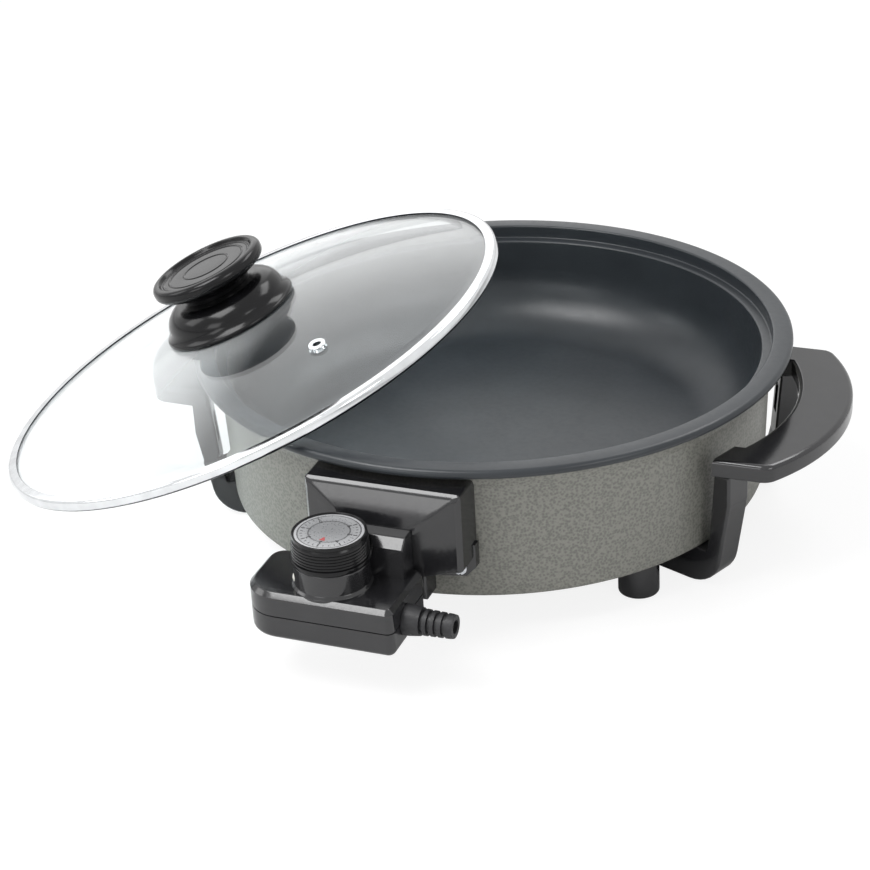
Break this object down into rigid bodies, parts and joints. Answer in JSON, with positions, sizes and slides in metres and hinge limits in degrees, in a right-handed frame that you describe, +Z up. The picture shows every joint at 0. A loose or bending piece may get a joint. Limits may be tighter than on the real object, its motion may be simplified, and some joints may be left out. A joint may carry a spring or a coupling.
{
  "type": "electric skillet",
  "caption": "Round deep electric skillet with a domed glass lid leaning on its rim, side grips on legs, and a plug-in thermostat control with a dial.",
  "frame": {"origin": "where the pan's axis meets the table plane under the four foot pads", "axes": "+Z up along the pan's axis; the control plugs in on the -Y side; +X runs from the left grip to the right grip, and the lid leans out over the left grip"},
  "size_m": [0.4766, 0.385, 0.1558],
  "materials": {
    "coated_casting": "cast aluminium, hammertone paint outside and dark non-stick coating inside",
    "heater_sheath": "heat-tinted steel sheath",
    "bright_steel": "bright zinc-plated steel",
    "ceramic": "white ceramic, satin",
    "black_phenolic": "black moulded phenolic, glossy",
    "black_rubber": "black rubber, matte",
    "black_nylon": "dark moulded nylon, matte",
    "brass": "plain brass",
    "copper_alloy": "spring bronze",
    "lamp_glass": "clear lamp glass",
    "clear_lens": "frosted white plastic",
    "dial_print": "silver-grey printed disc",
    "lid_glass": "clear tempered glass",
    "lid_steel": "polished stainless steel",
    "fibre": "pale fibre washer"
  },
  "bodies": {
    "pan": {"pan": "coated_casting", "heating_element": "heater_sheath", "element_clips": "bright_steel", "clip_screws": "bright_steel", "terminal_pins": "bright_steel", "pin_bushes": "ceramic", "socket_hood": "black_phenolic", "hood_screws": "bright_steel", "handle_right": "black_phenolic", "handle_left": "black_phenolic", "leg_front_right": "black_phenolic", "leg_rear_right": "black_phenolic", "leg_front_left": "black_phenolic", "leg_rear_left": "black_phenolic", "handle_screws": "bright_steel", "leg_screws": "bright_steel", "round_feet": "black_phenolic", "foot_screws": "bright_steel", "foot_pads": "black_rubber"},
    "control": {"control_top": "black_phenolic", "control_bottom": "black_phenolic", "control_screws": "bright_steel", "plug_nose": "black_nylon", "receptacles": "brass", "probe": "bright_steel", "thermostat_frame": "bright_steel", "bimetal": "copper_alloy", "spindle_bush": "brass", "fixed_contact": "brass", "pilot_lamp": "lamp_glass", "pilot_lens": "clear_lens", "strain_relief": "black_rubber", "cord_clamp": "bright_steel"},
    "contact_arm": {"contact_arm": "copper_alloy"},
    "dial": {"dial_knob": "black_phenolic", "dial_scale": "dial_print", "dial_spindle": "bright_steel"},
    "lid": {"lid_glass": "lid_glass", "lid_band": "lid_steel", "vent_eyelet": "lid_steel", "knob_base": "black_phenolic", "knob_cap": "black_phenolic", "knob_insert": "brass", "knob_washer": "fibre", "knob_screw": "bright_steel"}
  },
  "joints": [
    {"name": "control_plug", "type": "slide", "parent": "pan", "child": "control", "axis": [0, -1, 0], "range_m": [0, 0.06]},
    {"name": "dial_turn", "type": "hinge", "parent": "control", "child": "dial", "pos_m": [-0.0155, -0.1987, 0.068], "axis": [0, 0, 1], "range_deg": [0, 270]},
    {"name": "arm_swing", "type": "hinge", "parent": "control", "child": "contact_arm", "pos_m": [-0.0155, -0.1872, 0.0522], "axis": [1, 0, 0], "range_deg": [0, 2.1]},
    {"name": "lid_lift", "type": "slide", "parent": "pan", "child": "lid", "axis": [0, 0, 1], "range_m": [0, 0.15]}
  ],
  "couplings": [
    {"joint": "arm_swing", "follows": "dial_turn", "ratio": 0.0075}
  ]
}
